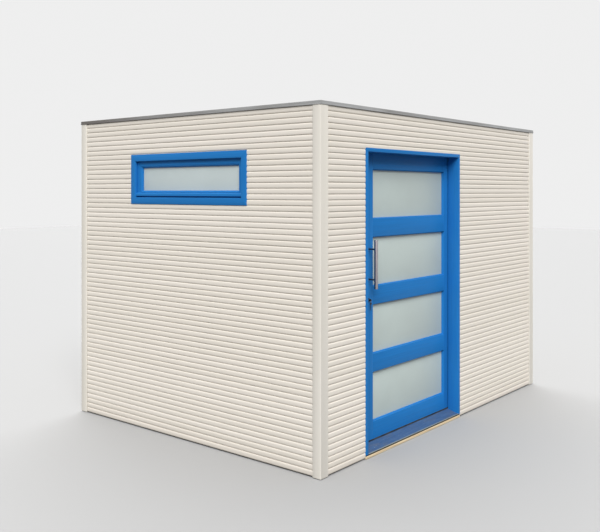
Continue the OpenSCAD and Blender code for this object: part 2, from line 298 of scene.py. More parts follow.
# %% [markdown]
# ## Finishes
# Paint on timber is never one flat colour. Each finish below starts from the shader's plain colour and
# varies it with noise that is stretched along the grain, and the same noise moves the roughness and makes
# a shallow bump. The helpers add the few nodes that all finishes share.

# %% Helpers for finishes
def carried(tree, name, output="Fac"):
    """A value or vector that the piece's points carry under a name."""
    node = tree.nodes.new("ShaderNodeAttribute")
    node.attribute_name = name
    return node.outputs[output]


def building_place(tree):
    """The point's place in the building, in metres."""
    return tree.nodes.new("ShaderNodeTexCoord").outputs["Object"]


def coordinate(tree, axis):
    """One coordinate of the point's place in the building."""
    parts = tree.nodes.new("ShaderNodeSeparateXYZ")
    tree.links.new(building_place(tree), parts.inputs["Vector"])
    return parts.outputs[axis]


def pattern_space(tree, stretch, attribute=None):
    """A point scaled by stretch: its place in the building, or in a board's own attribute."""
    mapping = tree.nodes.new("ShaderNodeMapping")
    mapping.inputs["Scale"].default_value = stretch
    source = carried(tree, attribute, "Vector") if attribute else building_place(tree)
    tree.links.new(source, mapping.inputs["Vector"])
    return mapping.outputs["Vector"]


def noise(tree, stretch, detail, roughness=0.55, attribute=None, scale=1.0):
    """A noise texture's value, about 0.3 to 0.7, in a pattern space of its own."""
    node = tree.nodes.new("ShaderNodeTexNoise")
    node.inputs["Scale"].default_value = scale
    node.inputs["Detail"].default_value = detail
    node.inputs["Roughness"].default_value = roughness
    tree.links.new(pattern_space(tree, stretch, attribute), node.inputs["Vector"])
    return node.outputs["Fac"]


def spread(tree, value, low, high, out_low=0.0, out_high=1.0):
    """A value moved from one range to another and kept inside it."""
    node = tree.nodes.new("ShaderNodeMapRange")
    for label, number in zip(("From Min", "From Max", "To Min", "To Max"), (low, high, out_low, out_high)):
        node.inputs[label].default_value = number
    tree.links.new(value, node.inputs["Value"])
    return node.outputs["Result"]


def blend(tree, factor, first, second):
    """A mix of two colours; each may be a colour or another node's output."""
    node = tree.nodes.new("ShaderNodeMix")
    node.data_type = "RGBA"
    for label, value in (("Factor", factor), ("A", first), ("B", second)):
        if isinstance(value, bpy.types.NodeSocket):
            tree.links.new(value, node.inputs[label])
        else:
            node.inputs[label].default_value = value if label == "Factor" else (*value, 1)
    return node.outputs["Result"]


def join_finish(tree, shader, colour, pattern, roughness, bump=None, specular=0.5, metallic=0.0):
    """Joins a finish to its shader.

    The pattern moves the roughness between two values, and bump is a pattern and its height in metres.
    """
    tree.links.new(colour, shader.inputs["Base Color"])
    tree.links.new(spread(tree, pattern, 0.3, 0.7, *roughness), shader.inputs["Roughness"])
    shader.inputs["Specular IOR Level"].default_value = specular
    shader.inputs["Metallic"].default_value = metallic
    if bump:
        node = tree.nodes.new("ShaderNodeBump")
        node.inputs["Strength"].default_value = 1.0
        node.inputs["Distance"].default_value = bump[1]
        tree.links.new(bump[0], node.inputs["Height"])
        tree.links.new(node.outputs["Normal"], shader.inputs["Normal"])


def tint(red, green, blue):
    """A display colour from 0 to 255 as the linear colour that shaders take."""
    share = np.array([red, green, blue]) / 255
    return tuple(np.where(share <= 0.04045, share / 12.92, ((share + 0.055) / 1.055) ** 2.4))


def shade(colour, factor):
    """A colour made lighter or darker by a factor."""
    return tuple(min(1.0, channel * factor) for channel in colour)


# %% [markdown]
# The walls' paint is a warm cream with a satin finish. Every board took it a little differently, so the
# boards carry a number of their own, "tone". The grooves and the eased board ends, which carry "groove",
# are darkened partly by dust that gathers there and partly by painted shade for the shadow deep inside them.
# Rain throws soil at the lowest boards, so the paint is also slightly darker near the ground.

# %% Cream wall paint
CREAM = tint(238, 231, 221)


def cream_paint():
    """Colour = cream * board tone * streaks, darkened in the grooves by dust and painted shade, and a little
    near the ground.
    """
    material, tree, shader = shader_tree("cream_paint")
    streaks = noise(tree, (2.2, 110, 60), 5, attribute="board")
    colour = blend(tree, spread(tree, streaks, 0.35, 0.68), shade(CREAM, 0.955), shade(CREAM, 1.02))
    clouds = noise(tree, (1.1, 1.1, 2.4), 2)
    colour = blend(tree, spread(tree, clouds, 0.35, 0.65), colour, shade(CREAM, 0.985))
    tone = spread(tree, carried(tree, "tone"), 0, 1, 0, 0.55)
    colour = blend(tree, tone, colour, tint(228, 221, 209))
    # Painted shade with dust: points deep in the grooves and at the eased ends are darkened towards a dusty
    # brown.
    dust = spread(tree, carried(tree, "groove"), 0.3, 1.0, 0, 0.5)
    colour = blend(tree, dust, colour, tint(150, 138, 122))
    splash = spread(tree, coordinate(tree, "Z"), 0.0, 0.16, 0.16, 0.0)
    colour = blend(tree, splash, colour, tint(190, 178, 160))
    join_finish(tree, shader, colour, streaks, (0.5, 0.66), (streaks, 0.0006), specular=0.15)
    return material


cream = cream_paint()
print("made", cream.name)

# %% [markdown]
# ## The rounded boards
# The cladding is 62 courses of timber, each about 36 mm high, with a rounded face and a narrow
# groove between neighbours. The rounding is what makes the walls sparkle with fine light and dark lines,
# so it is real geometry. One profile formula gives the depth behind the crest, and every board is that
# profile carried from end to end. Boards that meet the window or the door's head are cut to its height.

# %% Profile of a course
COURSES = 62
first_groove = wall_foot
course = (wall_top - first_groove) / COURSES
bulge = 0.0066
slot_depth = 0.0135
slot_half = 0.035


def rounded_face(share):
    """Depth behind the crest at a share s of the course's height.

    With q = |2s - 1|, it is bulge * (0.2 q^2 + 0.8 q^8): a slight swell with well rounded edges. The
    slot between two courses lies at its own depth.
    """
    off_middle = np.abs(2 * share - 1)
    swell = bulge * (0.2 * off_middle ** 2 + 0.8 * off_middle ** 8)
    return np.where(off_middle > 1 - slot_half, slot_depth, swell)


half_shares = np.array([0.0174, 0.0176, 0.03, 0.045, 0.065, 0.095, 0.14, 0.22, 0.35])
face_shares = np.concatenate([[0], half_shares, [0.5], 1 - half_shares[::-1], [1]])
print(f"{COURSES} courses of {course * 1000:.1f} mm")


# %% [markdown]
# A wall is described by an origin and three directions: along the board, across the courses, and inward.
# The same code then makes the walls' cladding, the lining inside, the floor and the ceiling. Zones are the
# rectangles that boards fill. Each course that crosses a zone becomes one strip, clipped to the zone. The
# ends of sawn boards are eased by hand, so the ends that show are rounded over a few millimetres.

# %% Strips of board
chance = np.random.default_rng(7)
EASE_ALONG = np.array([0, 0.0012, 0.004, 0.007])
EASE_BACK = np.array([0.004, 0.0012, 0, 0])
EVERY_GRAIN = 9


def strips_in(zones, first, height):
    """Rows of start, end, low, high and course number: each zone's courses, clipped to the zone."""
    rows = []
    for start, end, low, high in zones:
        lowest = math.floor((low - first) / height + 1e-6)
        number = np.arange(lowest, math.ceil((high - first) / height - 1e-6))
        bottom = np.maximum(first + number * height, low)
        top = np.minimum(first + (number + 1) * height, high)
        rows.append(np.stack(np.broadcast_arrays(start, end, bottom, top, number), axis=-1))
    return np.concatenate(rows)


def board_rings(plane, strips, first, height, profile, shares, thickness, eased=False, butted=()):
    """Rings and attributes of boards on a plane.

    A ring is the profile at one place u of a strip: for each share s of the visible height, the point
    origin + along * u + across * v + inward * (depth(s) + ease(u)), then two points at the board's back.
    ease(u) is a quarter round at the board's ends, left out where u is one of the butted ends.
    """
    origin, along, across, inward = plane
    u, low, high, number = strips[:, :2], strips[:, 2], strips[:, 3], strips[:, 4]
    plain = np.isclose(u[:, :, None], np.array([*butted, math.inf])).any(axis=2)
    rounding = np.where(plain, 0.0, float(eased))
    ease = np.concatenate([rounding[:, :1] * EASE_BACK, rounding[:, 1:] * EASE_BACK[::-1]], axis=1)
    u = np.concatenate([u[:, :1] + EASE_ALONG, u[:, 1:] - EASE_ALONG[::-1]], axis=1)
    bottom, top = (low - first) / height - number, (high - first) / height - number
    share = bottom[:, None] + (top - bottom)[:, None] * shares
    depth = profile(share)
    v = first + (number[:, None] + share) * height
    v = np.concatenate([v, v[:, -1:], v[:, :1]], axis=1)
    depth = np.repeat(depth[:, None, :], u.shape[1], axis=1) + ease[:, :, None]
    depth = np.concatenate([depth, np.full((*u.shape, 2), thickness)], axis=2)
    rings = origin + u[:, :, None, None] * along + v[:, None, :, None] * across + depth[..., None] * inward
    grain_shift = chance.uniform(0, EVERY_GRAIN, int(number.max() - number.min()) + 1)
    own = grain_shift[(number - number.min()).astype(int)][:, None, None]
    board = np.stack(np.broadcast_arrays(u[:, :, None] + own, v[:, None, :] + own, depth), axis=-1)
    tone = np.broadcast_to(own / EVERY_GRAIN, rings.shape[:3])
    return rings, {"board": board, "tone": tone, "groove": depth / slot_depth}


X, Y, Z = np.eye(3)
print("board ends rounded over", EASE_ALONG[-1], "m")

# %% [markdown]
# The front wall is in three pieces, because the door's frame stands between them: the boards left and
# right of the frame, and those above, which run on over it. The board just above the frame is cut along
# its length to sit on the frame's head.

# %% Cladding of the front wall
end_gap = 0.001
board_thickness = 0.019


def clad(name, node, plane, zones, butted=()):
    """One piece of cladding: rounded boards in some zones of a wall, their ends eased but where butted."""
    strips = strips_in(zones, first_groove, course)
    rings, values = board_rings(
        plane, strips, first_groove, course, rounded_face, face_shares, board_thickness, True, butted)
    return add_piece(name, rings, "building", [node], cream, crease=50, values=values)


left_low, left_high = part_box("front_cladding_left")
right_low, right_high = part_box("front_cladding_right")
head_low, head_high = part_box("front_cladding_head")
front_plane = (Y * left_low.y, X, Z, Y)
over_door = first_groove + math.floor((head_low.z - first_groove) / course) * course
left_span = (left_low.x + end_gap, left_high.x - end_gap)
right_span = (right_low.x + end_gap, right_high.x - end_gap)
clad("front_boards_left", "front_cladding_left", front_plane, [(*left_span, wall_foot, over_door)])
clad("front_boards_right", "front_cladding_right", front_plane, [(*right_span, wall_foot, over_door)])
clad("front_boards_head", "front_cladding_head", front_plane, [
    (*left_span, over_door, over_door + course),
    (head_low.x, head_high.x, head_low.z + end_gap, over_door + course),
    (*right_span, over_door, over_door + course),
    (left_span[0], right_span[1], over_door + course, wall_top)],
    (left_span[1], head_low.x, head_high.x, right_span[0]))

# %% [markdown]
# The left end wall has the window in it. Whole courses run below and above the window's casing, and in
# the band between they stop short on either side of it.

# %% Cladding of the end walls and the back
side_low, side_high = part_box("left_cladding")
casing_low, casing_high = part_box("window_casing")
band_low = first_groove + math.floor((casing_low.z - first_groove) / course) * course
band_high = first_groove + math.ceil((casing_high.z - first_groove) / course) * course
side_start, side_end = side_low.y + end_gap, side_high.y - end_gap
beside = (casing_low.y - end_gap, casing_high.y + end_gap)
clad("left_boards", "left_cladding", (X * side_low.x, Y, Z, X), [
    (side_start, side_end, wall_foot, band_low),
    (side_start, beside[0], band_low, band_high),
    (beside[1], side_end, band_low, band_high),
    (*beside, band_low, casing_low.z - end_gap),
    (*beside, casing_high.z + end_gap, band_high),
    (side_start, side_end, band_high, wall_top)], beside)
clad("right_boards", "right_cladding", (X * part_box("right_cladding")[1].x, Y, Z, -X), [
    (side_start, side_end, wall_foot, wall_top)])
back_low, back_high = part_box("back_cladding")
clad("back_boards", "back_cladding", (Y * back_high.y, X, Z, -Y), [
    (back_low.x + end_gap, back_high.x - end_gap, wall_foot, wall_top)])

# %% [markdown]
# ## Pieces refined from the frame
# Where a piece of the frame already has its true shape, such as an L-shaped corner trim or a rebated door
# jamb, it only lacks the softened edges of planed timber. A copy of its mesh is welded, its flat faces are
# rejoined, and a Bevel modifier rounds the edges.

# %% Softened copies of frame nodes
def softened(name, node, body, material, width):
    """A copy of a CAD node with rounded edges of a width in metres."""
    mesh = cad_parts[node].data.copy()
    work = bmesh.new()
    work.from_mesh(mesh)
    bmesh.ops.remove_doubles(work, verts=work.verts, dist=1e-5)
    bmesh.ops.dissolve_limit(
        work, angle_limit=math.radians(1), verts=work.verts, edges=work.edges, delimit=set())
    work.to_mesh(mesh)
    work.free()
    piece = finish_piece(name, mesh, body, [node], material, 180)
    bevel = piece.modifiers.new("softened_edges", "BEVEL")
    bevel.width = width
    bevel.segments = 3
    bevel.limit_method = "ANGLE"
    bevel.harden_normals = True
    return piece


# %% [markdown]
# The corner trims are smooth boards in a slightly greyer white than the walls. They stand upright, so
# their grain does too.

# %% Corner trims
TRIM_WHITE = tint(231, 226, 217)


def trim_paint():
    """Colour = trim white with faint upright streaks and a slow cloudiness."""
    material, tree, shader = shader_tree("trim_paint")
    streaks = noise(tree, (95, 95, 1.6), 5)
    colour = blend(tree, spread(tree, streaks, 0.35, 0.68), shade(TRIM_WHITE, 0.975), shade(TRIM_WHITE, 1.01))
    clouds = noise(tree, (3, 3, 1.3), 2)
    colour = blend(tree, spread(tree, clouds, 0.3, 0.7, 0, 0.6), colour, tint(222, 217, 205))
    join_finish(tree, shader, colour, streaks, (0.4, 0.52), (streaks, 0.0003), specular=0.35)
    return material


white = trim_paint()
for corner in ("front_left", "front_right", "back_left", "back_right"):
    softened(f"trim_{corner}", f"corner_trim_{corner}", "building", white, 0.004)

# %% [markdown]
# ## The blue joinery
# Door and window frames share one blue paint. Brush marks run along each board; as most of them are
# upright, one stretch along the height serves them all, and the rails get their own, turned on its side.
# The boards of mitred frames carry their own coordinates, so their marks follow them round the corners.

# %% Blue paint
BLUE = tint(36, 119, 190)


def blue_paint(name, stretch, attribute=None):
    """Colour = blue with fine brush marks stretched along the board, and a soft satin shine."""
    material, tree, shader = shader_tree(name)
    strokes = noise(tree, stretch, 6, 0.6, attribute)
    colour = blend(tree, spread(tree, strokes, 0.35, 0.68), shade(BLUE, 0.93), shade(BLUE, 1.06))
    clouds = noise(tree, (2.5, 2.5, 2.5), 2)
    colour = blend(tree, spread(tree, clouds, 0.35, 0.7, 0, 0.35), colour, shade(BLUE, 1.12))
    join_finish(tree, shader, colour, strokes, (0.36, 0.5), (strokes, 0.00025), specular=0.1)
    return material


blue_upright = blue_paint("blue_paint_upright", (130, 130, 3))
blue_across = blue_paint("blue_paint_across", (3, 130, 130))
blue_board = blue_paint("blue_paint_board", (3, 130, 130), "board")
print("made three blues")

# %% [markdown]
# The door's frame is a deep box. The head's underside and the jambs' inner faces lie in its shadow, which
# is what makes the opening look deep.

# %% Door frame
softened("jamb_left", "door_jamb_left", "building", blue_upright, 0.0015)
softened("jamb_right", "door_jamb_right", "building", blue_upright, 0.0015)
softened("frame_head", "door_head", "building", blue_across, 0.0015)

# %% [markdown]
# A casing, a sash and a glazing bead are all boards that run round a rectangle and meet in mitres. One
# helper makes the four boards: at each end of a side it places the board's cross-section on the mitre,
# where every point stands equally far in from both sides.

# %% Mitred frames
mitre_gap = 0.0001


def mitred_boards(plane, low, high, outline):
    """Rings of the four boards round a rectangle, and each point's place along its own board.

    plane is origin, first and second direction, and depth; low and high are the rectangle's corners on it.
    outline holds pairs of distance in from the side, and depth. The order is bottom, right, top, left.
    """
    origin, first, second, depth = plane
    corner = np.array([[low[0], low[1]], [high[0], low[1]], [high[0], high[1]], [low[0], high[1]]])
    inward = np.array([[1, 1], [-1, 1], [-1, -1], [1, -1]], dtype=float)
    place = corner[:, None, :] + inward[:, None, :] * outline[None, :, :1]
    ends = np.stack([place, np.roll(place, -1, axis=0)], axis=1)
    run = np.roll(corner, -1, axis=0) - corner
    run = run / np.linalg.norm(run, axis=1, keepdims=True)
    ends += np.array([mitre_gap, -mitre_gap])[None, :, None, None] * run[:, None, None, :]
    along = (ends * run[:, None, None, :]).sum(axis=-1)
    deep = np.broadcast_to(outline[None, None, :, 1], along.shape)
    across = np.broadcast_to(outline[None, None, :, 0], along.shape)
    rings = origin + ends[..., :1] * first + ends[..., 1:] * second + deep[..., None] * depth
    board = np.stack([along + np.arange(4)[:, None, None] * 3.0, across, deep], axis=-1)
    return rings, {"board": board}


def board_outline(width, thickness, radius):
    """A board's cross-section with round corners, measured in from its outer side and its face."""
    return [width / 2, thickness / 2] + arc_rectangle(width / 2, thickness / 2, radius)


print("mitre helper ready")

# %% [markdown]
# The window sits in the left end wall. A flat casing covers the gap between its frame and the cladding.
# The frame lies behind it, its face is set back by the casing's thickness, and a sloped bead holds the glass.

# %% Window casing and frame
window_plane = (X * casing_low.x, Y, Z, X)
casing_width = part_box("window_sill")[0].y - casing_low.y
casing_rings, casing_values = mitred_boards(
    window_plane, (casing_low.y, casing_low.z), (casing_high.y, casing_high.z),
    board_outline(casing_width, casing_high.x - casing_low.x, 0.0022))
add_piece("window_casing_boards", casing_rings, "building", ["window_casing"], blue_board,
          values=casing_values)

frame_low, frame_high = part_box("window_frame")
glass_low, glass_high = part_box("window_glass")
sash_width = glass_low.y - frame_low.y
glass_depth = glass_low.x - frame_low.x
frame_depth = frame_high.x - frame_low.x
bead_start = sash_width - 0.006
bead_lap = 0.006
sash_outline = np.array([
    [0, frame_depth], [0, 0.001], [0.001, 0], [bead_start - 0.0024, 0], [bead_start - 0.0015, 0.001],
    [bead_start - 0.0012, 0.003], [bead_start - 0.0008, 0.003], [bead_start, 0.001],
    [bead_start + 0.003, 0.0008],
    [sash_width + bead_lap - 0.001, glass_depth - 0.007], [sash_width + bead_lap, glass_depth - 0.005],
    [sash_width + bead_lap, glass_depth - 0.0003], [sash_width - 0.0002, glass_depth - 0.0003],
    [sash_width - 0.0002, frame_depth - 0.001], [sash_width - 0.0012, frame_depth]])
sash_rings, sash_values = mitred_boards(
    (X * frame_low.x, Y, Z, X), (frame_low.y, frame_low.z), (frame_high.y, frame_high.z), sash_outline)
add_piece("window_sash", sash_rings, "building", ["window_frame"], blue_board, crease=25,
          values=sash_values)

# %% [markdown]
# A weather bead lies across the foot of the window. Its top slopes so that rain runs off, its nose is
# round, and a groove underneath makes the drops fall instead of creeping back to the frame. The dark slot
# below it is simply the gap down to the casing.

# %% Weather bead
def carried_along(axis, start, end, outline):
    """Rings of a cross-section carried straight along an axis; outline holds the two other coordinates."""
    others = [i for i in range(3) if i != axis]
    rings = np.empty((1, 2, len(outline), 3))
    rings[..., others] = outline
    rings[0, :, :, axis] = np.array([start, end])[:, None]
    return rings


bead_low, bead_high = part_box("window_sill")
nose_turn = np.radians(np.linspace(0, 90, 5))
nose_radius = 0.005
slope_drop = 0.004
nose_centre = [bead_low.x + nose_radius, bead_high.z - slope_drop - nose_radius]
nose = nose_centre + nose_radius * np.stack([-np.cos(nose_turn), np.sin(nose_turn)], axis=-1)
groove_turn = np.radians(np.linspace(180, 0, 5))
groove_centre = [bead_low.x + 0.006, bead_low.z]
groove = groove_centre + 0.0018 * np.stack([np.cos(groove_turn), np.sin(groove_turn)], axis=-1)
bead_outline = np.concatenate([
    nose, [[bead_high.x, bead_high.z], [bead_high.x, bead_low.z]], groove[::-1],
    [[bead_low.x + 0.0015, bead_low.z], [bead_low.x, bead_low.z + 0.0015]]])
add_piece("window_weather_bead", carried_along(1, bead_low.y + 0.0003, bead_high.y - 0.0003, bead_outline),
          "building", ["window_sill"], blue_paint("blue_paint_bead", (130, 3, 130)))

# %% [markdown]
# ## Frosted glass
# The panes are pale and cloudy, so that daylight comes in and nobody sees the tools. Real frosted glass
# scatters light in its surface. Here a pale body colour with a little rough transmission does the same,
# and slow clouds keep it from looking like card.

# %% Frosted glass
DOOR_FROST = tint(196, 208, 204)
WINDOW_FROST = tint(206, 217, 216)


def frosted_glass(name, frosting):
    """Colour = the frosting's, with slow clouds and faint specks of dirt; a rough, slightly clear body."""
    material, tree, shader = shader_tree(name)
    clouds = noise(tree, (2.2, 2.2, 3.0), 3)
    colour = blend(tree, spread(tree, clouds, 0.35, 0.65), shade(frosting, 0.96), shade(frosting, 1.03))
    specks = noise(tree, (38, 38, 38), 6, 0.7)
    colour = blend(tree, spread(tree, specks, 0.66, 0.76, 0, 0.16), colour, tint(214, 216, 205))
    shader.inputs["IOR"].default_value = 1.5
    shader.inputs["Transmission Weight"].default_value = 0.08
    sandblast = noise(tree, (900, 900, 900), 2)
    join_finish(tree, shader, colour, clouds, (0.34, 0.44), (sandblast, 0.00004), specular=0.45)
    return material


frost = frosted_glass("frosted_door_glass", DOOR_FROST)
glass_pane = rounded_block(
    (glass_low.x, glass_low.y + 0.0003, glass_low.z + 0.0003),
    (glass_high.x, glass_high.y - 0.0003, glass_high.z - 0.0003), 0.0012, axis=1)
add_piece("window_pane", glass_pane, "building", ["window_glass"],
          frosted_glass("frosted_window_glass", WINDOW_FROST), crease=60)

# %% [markdown]
# ## The door leaf
# Two uprights, called stiles, run the leaf's full height, and the rails between them divide it into four
# lights. They are softened copies of the frame's nodes. A fine line shows where rail and stile meet.

# %% Stiles and rails
softened("leaf_stiles", "door_stiles", "door", blue_upright, 0.0012)
softened("leaf_rails", "door_rails", "door", blue_across, 0.0012)

# %% [markdown]
# The frame node of the panes holds four panes of one size, so the gaps between them come from its box,
# the number of panes and the rails' height. Each pane is held by a small sloped bead on both faces. The
# beads go right round, so they use the mitre helper again, once for each pane and face.

# %% Panes and beads
pane_low, pane_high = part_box("door_panes")
leaf_low, leaf_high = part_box("door_stiles")
pane_count = 4
rail_height = 0.121
pane_height = (pane_high.z - pane_low.z - (pane_count - 1) * rail_height) / pane_count
pane_feet = pane_low.z + np.arange(pane_count) * (pane_height + rail_height)
sliver = 0.0003
panes = np.concatenate([rounded_block(
    (pane_low.x + sliver, pane_low.y, foot + sliver),
    (pane_high.x - sliver, pane_high.y, foot + pane_height - sliver), 0.001, axis=0) for foot in pane_feet])
add_piece("leaf_panes", panes, "door", ["door_panes"], frost, crease=60)


def glazing_beads(plane, room):
    """Beads round all panes on one face; room is the depth from that face to the glass."""
    outline = np.array([
        [0, room * 0.45], [0.0015, room * 0.45], [0.0025, room * 0.5], [0.0055, room - 0.004],
        [0.006, room - 0.003], [0.006, room], [0, room]])
    sets = [mitred_boards(plane, (pane_low.x, foot), (pane_high.x, foot + pane_height), outline)
            for foot in pane_feet]
    rings = np.concatenate([rings for rings, values in sets])
    return rings, {"board": np.concatenate([values["board"] for rings, values in sets])}


outer_rings, outer_values = glazing_beads((Y * leaf_low.y, X, Z, Y), pane_low.y - leaf_low.y - 0.0001)
inner_rings, inner_values = glazing_beads((Y * leaf_high.y, X, Z, -Y), leaf_high.y - pane_high.y - 0.0001)
add_piece("glazing_beads_outside", outer_rings, "door", [], blue_board, values=outer_values)
add_piece("glazing_beads_inside", inner_rings, "door", [], blue_board, values=inner_values)

# %% [markdown]
# Two black rubber strips keep the wind out. One wraps the leaf's bottom edge and brushes over the
# threshold, and the other lies under the threshold, on the beam that carries it. Both read as dark lines.

# %% Rubber strips
def rubber():
    """Colour = near black with dust in slow patches; a dull surface."""
    material, tree, shader = shader_tree("black_rubber")
    dust = noise(tree, (14, 60, 60), 5, 0.65)
    colour = blend(tree, spread(tree, dust, 0.4, 0.75), tint(26, 27, 29), tint(74, 72, 68))
    join_finish(tree, shader, colour, dust, (0.6, 0.85), (dust, 0.0002), specular=0.3)
    return material


black_rubber = rubber()
threshold_low, threshold_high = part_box("door_threshold")
sweep_rise = np.linspace(0, 1, 9)
sweep_lap = 0.004
sweep_foot, sweep_top = threshold_high.z + 0.0008, leaf_low.z + sweep_lap
sweep_front = leaf_low.y - 0.0022 + 0.0008 * np.cos(np.pi * 4 * sweep_rise)
sweep_outline = np.concatenate([
    np.stack([sweep_front, sweep_foot + sweep_rise * (sweep_top - sweep_foot)], axis=-1),
    [[leaf_low.y - 0.0001, sweep_top], [leaf_low.y - 0.0001, leaf_low.z - 0.0001],
     [leaf_low.y + 0.012, leaf_low.z - 0.0001], [leaf_low.y + 0.012, sweep_foot]]])
add_piece("leaf_sweep", carried_along(0, leaf_low.x + 0.002, leaf_high.x - 0.002, sweep_outline),
          "door", [], black_rubber)

seal_low, seal_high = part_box("threshold_seal")
rib_rise = np.linspace(0, 1, 13)
rib_front = seal_low.y + 0.0015 * (1 - np.abs(np.sin(np.pi * 2 * rib_rise)))
rib_heights = seal_low.z + 0.0001 + rib_rise * (seal_high.z - seal_low.z - 0.0002)
seal_outline = np.concatenate([
    np.stack([rib_front, rib_heights], axis=-1),
    [[seal_high.y, rib_heights[-1]], [seal_high.y, rib_heights[0]]]])
add_piece("threshold_packing", carried_along(0, seal_low.x, seal_high.x, seal_outline),
          "building", ["threshold_seal"], black_rubber)

# %% [markdown]
# ## Threshold and sill beam
# The threshold is where boots wear the paint. Its blue has greyed and carries scuffs across the walking
# direction and specks of dried soil. The finish mixes three noises: a slow one for the worn patches, one
# stretched from side to side for the scuffs, and a fine, sharp one for the specks.

# %% Threshold
def worn_paint():
    """Colour = greyed blue, lighter in scuffs, browner in patches of soil, with pale specks."""
    material, tree, shader = shader_tree("worn_threshold_paint")
    scuffs = noise(tree, (9, 150, 150), 6, 0.65)
    colour = blend(tree, spread(tree, scuffs, 0.4, 0.7), tint(56, 86, 126), tint(78, 106, 142))
    patches = noise(tree, (7, 16, 16), 4, 0.6)
    colour = blend(tree, spread(tree, patches, 0.5, 0.72, 0, 0.45), colour, tint(98, 98, 102))
    specks = noise(tree, (70, 110, 110), 3, 0.7)
    colour = blend(tree, spread(tree, specks, 0.66, 0.72, 0, 0.75), colour, tint(168, 168, 158))
    join_finish(tree, shader, colour, patches, (0.42, 0.7), (scuffs, 0.0003), specular=0.3)
    return material


softened("threshold_board", "door_threshold", "building", worn_paint(), 0.001)

# %% [markdown]
# A thin strip of bright metal takes the knocks on the threshold's front edge. Below the black packing lies
# a pale beam, left unpainted.

# %% Nosing
def dull_metal(name, colour, roughness, stretch, tarnish, metallic=1.0):
    """Colour = metal with brushed streaks and cloudy tarnish, which also roughens it."""
    material, tree, shader = shader_tree(name)
    streaks = noise(tree, stretch, 5, 0.6)
    mixed = blend(tree, spread(tree, streaks, 0.3, 0.7), shade(colour, 0.88), shade(colour, 1.08))
    clouds = noise(tree, (6, 6, 6), 4)
    mixed = blend(tree, spread(tree, clouds, 0.4, 0.7, 0, tarnish), mixed, shade(colour, 0.7))
    join_finish(tree, shader, mixed, streaks, (roughness, roughness + 0.14), (streaks, 0.0001),
                metallic=metallic)
    return material


nosing_metal = dull_metal("nosing_metal", tint(142, 150, 148), 0.42, (8, 400, 400), 0.4, metallic=0.25)
nose_width, nose_top = 0.005, threshold_low.z + 0.0044
nosing_outline = np.array([
    [threshold_low.y, threshold_low.z + 0.0004], [threshold_low.y + 0.001, threshold_low.z + 0.0004],
    [threshold_low.y + 0.001, nose_top - 0.001], [threshold_low.y + nose_width, nose_top + 0.0002],
    [threshold_low.y + nose_width, nose_top + 0.0012], [threshold_low.y + 0.0006, nose_top],
    [threshold_low.y, nose_top - 0.0006]])
jamb_inner_left = threshold_low.x + 0.0005
jamb_inner_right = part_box("door_jamb_right")[0].x - 0.0005
add_piece("threshold_nosing", carried_along(0, jamb_inner_left, jamb_inner_right, nosing_outline),
          "building", [], nosing_metal)

# %% [markdown]
# ## Bare timber
# Sawn timber shows its year rings as long, uneven bands, with short dark pores between them. The finish
# bends a banded wave with slow noise for the rings and adds fine noise stretched along the grain. It works
# on a board's own coordinates where a piece has them, so that no two boards share a pattern.

# %% Timber finish
def timber(name, light, dark, stretch, attribute=None, roughness=0.6):
    """Colour = light wood darkened by wavy year rings and by fine grain; stretch is small along the grain."""
    material, tree, shader = shader_tree(name)
    bands = tree.nodes.new("ShaderNodeTexWave")
    bands.bands_direction = "DIAGONAL"
    bands.inputs["Scale"].default_value = 0.9
    bands.inputs["Distortion"].default_value = 9.0
    bands.inputs["Detail"].default_value = 3.0
    bands.inputs["Detail Scale"].default_value = 0.7
    tree.links.new(pattern_space(tree, stretch, attribute), bands.inputs["Vector"])
    colour = blend(tree, spread(tree, bands.outputs["Fac"], 0, 1, 0, 0.55), light, dark)
    grain = noise(tree, stretch, 6, 0.65, attribute, 5.0)
    colour = blend(tree, spread(tree, grain, 0.45, 0.75, 0, 0.5), colour, shade(dark, 0.8))
    clouds = noise(tree, (2, 2, 2), 3)
    colour = blend(tree, spread(tree, clouds, 0.35, 0.7, 0, 0.3), colour, shade(light, 0.86))
    join_finish(tree, shader, colour, grain, (roughness, roughness + 0.15), (grain, 0.0005), specular=0.25)
    return material


PINE_LIGHT, PINE_DARK = tint(214, 186, 142), tint(176, 138, 92)
beam_timber = timber("pale_beam_timber", tint(232, 214, 180), tint(202, 172, 132), (1.2, 26, 26))
softened("sill_beam", "door_sill_beam", "building", beam_timber, 0.003)

# %% [markdown]
# ## Door fittings
# Handle, lock, knuckles and screws are all turned shapes: a profile of distance along an axis and radius,
# swept round that axis. One helper makes them for any axis and any number of places at once.

# %% Turned shapes
def turned(centres, axis, profile, around=32):
    """Rings of solids of revolution: centre + distance * axis + radius * (cos t, sin t) across it."""
    others = [i for i in range(3) if i != axis]
    turn = np.linspace(0, 2 * np.pi, around, endpoint=False)
    circle = np.stack([np.cos(turn), np.sin(turn)], axis=-1)
    profile, centres = np.asarray(profile, dtype=float), np.asarray(centres, dtype=float)
    rings = np.zeros((len(centres), len(profile), around, 3))
    rings[..., others] = profile[None, :, None, 1:] * circle[None, None, :, :]
    rings[..., axis] = profile[None, :, None, 0]
    return rings + centres[:, None, None, :]


def rounded_rod(length, radius, edge):
    """Profile of a rod from 0 to its length with quarter-round ends."""
    turn = np.radians(np.linspace(0, 90, 4))
    from_end, across = edge * (1 - np.sin(turn)), radius - edge * (1 - np.cos(turn))
    profile = np.concatenate([
        np.stack([from_end, across], axis=-1), np.stack([length - from_end, across], axis=-1)])
    return profile[np.argsort(profile[:, 0], kind="stable")]


brushed_steel = dull_metal("brushed_steel", tint(172, 166, 170), 0.2, (420, 420, 9), 0.35)
print("made", brushed_steel.name)
